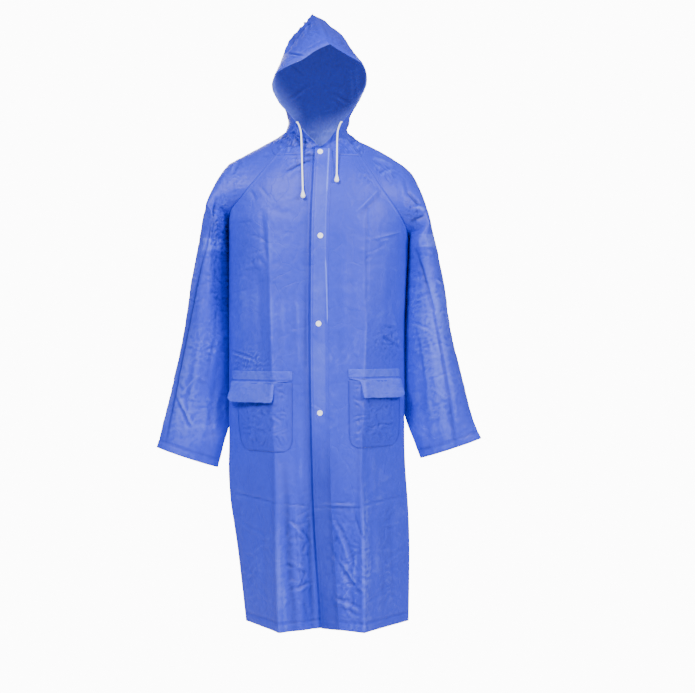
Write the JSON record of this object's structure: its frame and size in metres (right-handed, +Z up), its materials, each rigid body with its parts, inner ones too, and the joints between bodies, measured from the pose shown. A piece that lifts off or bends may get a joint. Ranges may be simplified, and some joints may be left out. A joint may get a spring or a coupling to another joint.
{
  "type": "hooded raincoat",
  "caption": "Long hooded film raincoat, worn open-hollow form, with raglan sleeves, snap placket, flap pockets and hood drawcord.",
  "frame": {"origin": "middle of the shoulders, on the centre line at the height where the coat rests on its wearer", "axes": "+Z up the coat towards the hood, -Y out of the coat's front, +X towards the wearer's left sleeve"},
  "size_m": [0.7435, 0.308, 1.4001],
  "materials": {
    "blue_film": "satin, slightly see-through",
    "white_plastic": "moulded",
    "white_cord": "braided"
  },
  "bodies": {
    "root": {"back_panel": "blue_film", "front_panel_right": "blue_film", "front_panel_left": "blue_film", "front_placket": "blue_film", "sleeve_right": "blue_film", "sleeve_left": "blue_film", "hood_panel_right": "blue_film", "hood_panel_left": "blue_film", "pocket_right": "blue_film", "pocket_left": "blue_film", "pocket_flap_right": "blue_film", "pocket_flap_left": "blue_film", "snap_collar": "white_plastic", "snap_chest": "white_plastic", "snap_waist": "white_plastic", "snap_hip": "white_plastic", "drawcord_right": "white_cord", "drawcord_left": "white_cord", "cord_tip_right": "white_plastic", "cord_tip_left": "white_plastic"}
  },
  "joints": []
}
